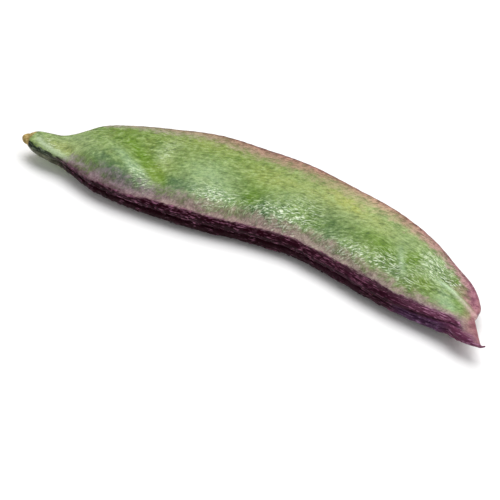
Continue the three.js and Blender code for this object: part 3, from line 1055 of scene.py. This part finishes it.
def blush_mauve(s):
    """The mauve by the seam and the grey farther out, both paler away from the stalk."""
    middle, right = s.pair(s.even, "near_middle"), s.pair(s.even, "near_right")
    near = s.blend(s.along(0.52, 0.68, 0.0, 0.75), middle, right)
    near = s.blend(s.along(0.24, 0.36), s.pair(s.sharp, "near_left"), near)
    left, right = s.pair(s.sharp, "outer_left"), s.pair(s.even, "outer_right")
    outer = s.blend(s.along(0.3, 0.42), left, right)
    mauve = s.blend(s.spread(s.zone("blush"), 0.5, 0.95), outer, near)
    hatch = s.strokes(*HATCH_STROKE, slant=0.15, seed=4.0)
    brighter = s.pair(s.along(0.24, 0.34), "hatch_pale")
    mauve = s.blend(s.spread(hatch, 0.0, 0.16, 0.0, 0.3), mauve, brighter)
    return s.blend(s.spread(hatch, 0.0, -0.16, 0.0, 0.35), mauve, shade("hatch_dark"))


def add_blush(s, skin):
    """The blush beside the seam, with pale flecks, painted glints, where the skin is netted."""
    edge = s.stirred(s.zone("blush"), s.mottled, 1.3)
    edge = s.calc("MULTIPLY_ADD", s.streaks, -0.7, edge)
    share = s.spread(edge, 0.15, 0.75, 0.0, 0.92)
    share = s.times(share, s.spread(s.zone("blush"), 0.08, 0.4))
    skin = s.blend(share, skin, blush_mauve(s))
    fleck_glints = s.spread(s.spots(FLECK_SCALE, detail=1), 0.64, 0.7, 0.0, 0.6)
    return s.tint(skin, "netted", fleck_glints, shade("fleck_glint"))


def add_rim(s, skin):
    """The rim along the back: a brown fade, a reddish strip and a thin dark edge."""
    pale = s.along_ramp(RIM_SHADES)
    share = s.stirred(s.zone("rim"), s.mottled, 1.0)
    share = s.spread(s.calc("MULTIPLY_ADD", s.streaks, 1.3, share), 0.3, 1.0, 0.0, 0.85)
    share = s.times(share, s.spread(s.zone("rim"), 0.05, 0.3))
    stroked = s.spread(s.calc("MULTIPLY_ADD", s.streaks, 1.2, s.mottled), *SHARP)
    rim = s.blend(stroked, s.blend(0.5, pale, shade("rim_dark")), pale)
    skin = s.blend(share, skin, rim)

    brown, pink, purple = (s.pair(stroked, f"back_{name}") for name in ("brown", "pink", "purple"))
    reddish = s.blend(s.along(0.28, 0.45), brown, pink)
    reddish = s.blend(s.along(0.76, 0.92), reddish, purple)
    share = s.spread(s.stirred(s.zone("red"), s.mottled, 0.7), 0.12, 0.95)
    share = s.times(share, s.along(0.1, 0.3, 0.5, 0.85))
    skin = s.blend(share, skin, reddish)
    skin = s.tint(skin, "lobe", 0.85, s.pair(s.sharp, "lobe"))

    edge = s.pair(s.along(0.12, 0.3), "edge")
    share = s.times(s.along(0.05, 0.3, 0.4, 0.85), s.along(0.5, 0.6, 1.0, 0.5))
    return s.tint(skin, "edge", share, edge)


def add_beak_and_lines(s, skin):
    """The pinkish beak, the vein's pale line, and painted highlights along the crease and the neck.
    """
    skin = s.tint(skin, "beak", 0.8, s.pair(s.spread(s.mottled, 0.36, 0.64), "beak"))
    skin = s.tint(skin, "vein", 0.8, s.pair(s.along(0.9, 0.95), "vein"))
    return s.tint(skin, "neck", 0.85, shade("neck_ridge_highlight"))


def seam_purple(s):
    """The seam's dark purple with lit knobs, and greenish black painted shade on the neck."""
    # lit: where the knobs and strokes take painted highlights.
    lit = s.calc("MULTIPLY_ADD", s.zone("knobs"), 0.16, s.along_seam)
    lit = s.stirred(lit, s.patchy, 0.16, middle=0.6)
    purple = s.blend(s.spread(lit, 0.06, 0.21), s.along_ramp(SEAM_DARK), s.along_ramp(SEAM_HIGHLIGHTS))
    purple = s.tint(purple, "below", 0.8, s.pair(s.spread(lit, 0.06, 0.26), "below_groove"))
    neck_painted_shade = s.pair(s.along(0.045, 0.075), "neck_painted_shade")
    neck = s.blend(s.spread(lit, 0.03, 0.2), neck_painted_shade, shade("neck_knob_highlight"))
    neck = s.tint(neck, "bare", 0.85, s.pair(s.even, "bare"))
    return s.blend(s.along(0.07, 0.13), neck, purple)


def add_seam(s, skin):
    """The seam with its ragged edge and lilac fringe, and the groove that climbs over it."""
    purple = seam_purple(s)
    ragged = s.calc("MULTIPLY_ADD", s.along_seam, 1.5, s.zone("seam"))
    lilac = s.pair(s.along(0.74, 0.88), "fringe")
    share = s.times(s.spread(ragged, 0.2, 0.6), s.along(0.09, 0.15, 0.0, 0.75))
    skin = s.blend(share, skin, s.blend(0.55, purple, lilac))
    skin = s.blend(s.spread(ragged, 0.45, 0.7), skin, purple)
    return s.tint(skin, "climb", 0.8, shade("groove"))


def add_scar(s, skin):
    scar = s.pair(s.spread(s.spots(FINE_SCALE, detail=4, roughness=0.65), *EVEN), "scar")
    scar = s.blend(s.spread(s.mottled, 0.52, 0.66, 0.0, 0.7), scar, shade("scar_mottle"))
    return s.blend(s.zone("stalk"), skin, scar)


def add_finest(s, skin):
    """The finest light and dark grain, over everything."""
    finest = s.spots(FINEST_SCALE, detail=3, roughness=0.7)
    return s.blend(0.6, skin, s.ramp(finest, FINEST_GREYS), "OVERLAY")


def set_gloss(s):
    satin = s.spread(s.spots(SATIN_SCALE), *EVEN, 0.26, 0.38)
    rough = s.calc("MAXIMUM", satin, s.times(s.zone("stalk"), 0.85))
    s.fill(s.surface, {
        "Roughness": rough,
        "Specular IOR Level": 0.06,
        "Subsurface Weight": 0.05,
        "Subsurface Radius": (0.6, 1.0, 0.3),
        "Subsurface Scale": 1 * MM,
    })


def set_bumps(s):
    """Streaks too fine for the mesh, stronger where the skin is netted."""
    pebbled = s.times(s.spots(FINEST_SCALE, detail=3), 0.5)
    netted = s.calc("MULTIPLY_ADD", s.zone("netted"), 1.4, 1.0)
    bump = s.node("Bump")
    height = s.calc("MULTIPLY_ADD", s.streaks, netted, pebbled)
    s.fill(bump, {"Strength": 1.0, "Distance": 0.12 * MM, "Height": height})
    s.put(s.surface.inputs["Normal"], bump.outputs["Normal"])


def pod_skin_material(steps):
    s = SkinShader("pod_skin", steps)
    skin = face_green(s)
    for add in (add_blush, add_rim, add_beak_and_lines, add_seam, add_scar, add_finest):
        skin = add(s, skin)
    s.put(s.surface.inputs["Base Color"], skin)
    set_gloss(s)
    set_bumps(s)
    return s.material


# The camera stands as the photo's does, seen from the pod: degrees round it and above it.
CAMERA_AZIMUTH, CAMERA_ELEVATION = 31.02, 48.0
CAMERA_DISTANCE = 304.3
CAMERA_LENS, CAMERA_SENSOR = 100.0, 36.0
VIEW_CENTRE = (4.29, -14.68, 4.3)  # what the middle of the frame looks at

# Square soft lights: name, degrees round from the camera and above the floor, distance
# and side in metres, and watts.
LIGHTS = (
    ("key", 165, 70, 0.7, 0.5, 4.4),
    ("right", 75, 50, 0.9, 0.4, 2.0),
)
SURROUND_STRENGTH = 0.4
SQUARE = ((-1, -1), (1, -1), (1, 1), (-1, 1))
FLOOR_HALF, FLOOR_LEVEL = 3.0, -0.00002
FLOOR_GREY, FLOOR_ROUGHNESS, FLOOR_SHINE = 0.92, 0.8, 0.2


def direction(azimuth, elevation):
    """Away from the pod, at degrees round it and above the floor."""
    a, e = math.radians(azimuth), math.radians(elevation)
    return Vector((math.sin(a) * math.cos(e), -math.cos(a) * math.cos(e), math.sin(e)))


def place_facing(name, data, centre, away):
    """Adds an object that stands a way out from a centre and faces it."""
    placed = bpy.data.objects.new(name, data)
    placed.location = centre + away
    placed.rotation_euler = away.to_track_quat("Z", "Y").to_euler()
    bpy.context.scene.collection.objects.link(placed)
    return placed


def add_camera():
    data = bpy.data.cameras.new("photo_camera")
    data.lens, data.sensor_width = CAMERA_LENS, CAMERA_SENSOR
    data.clip_start, data.clip_end = 0.01, 20
    away = direction(CAMERA_AZIMUTH, CAMERA_ELEVATION) * CAMERA_DISTANCE * MM
    camera = place_facing("photo_camera", data, Vector(VIEW_CENTRE) * MM, away)
    bpy.context.scene.camera = camera


def add_light(name, azimuth, elevation, distance, size, watts):
    data = bpy.data.lights.new(name, "AREA")
    data.shape, data.size, data.energy = "SQUARE", size, watts
    place_facing(name, data, Vector(), direction(azimuth, elevation) * distance)


def add_floor():
    corners = [(x * FLOOR_HALF, y * FLOOR_HALF, FLOOR_LEVEL) for x, y in SQUARE]
    mesh = bpy.data.meshes.new("floor")
    mesh.from_pydata(corners, [], [(0, 1, 2, 3)])
    s = Shader("floor_paper")
    s.fill(s.surface, {
        "Base Color": (*[FLOOR_GREY] * 3, 1),
        "Roughness": FLOOR_ROUGHNESS,
        "Specular IOR Level": FLOOR_SHINE,
    })
    mesh.materials.append(s.material)
    floor = bpy.data.objects.new("floor", mesh)
    bpy.context.scene.collection.objects.link(floor)


def add_surround():
    world = bpy.data.worlds.new("studio")
    bpy.context.scene.world = world
    world.use_nodes = True
    background = world.node_tree.nodes["Background"]
    background.inputs["Color"].default_value = (1.0, 1.0, 1.0, 1)
    background.inputs["Strength"].default_value = SURROUND_STRENGTH


def flow_steps(mesh):
    """The steps of angle that the mesh keeps a weight for."""
    names = [layer.name for layer in mesh.attributes if layer.name.startswith("flow_")]
    return sorted(int(name.removeprefix("flow_")) for name in names)


def main():
    mesh = pod_mesh()
    mesh.materials.append(pod_skin_material(flow_steps(mesh)))
    pod = bpy.data.objects.new("pod_skin", mesh)
    bpy.context.scene.collection.objects.link(pod)
    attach(pod, "root")
    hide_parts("pod")

    add_camera()
    add_floor()
    add_surround()
    for name, round_by, *settings in LIGHTS:
        add_light(name, CAMERA_AZIMUTH + round_by, *settings)

    scene = bpy.context.scene
    scene.view_settings.view_transform = "Standard"


main()
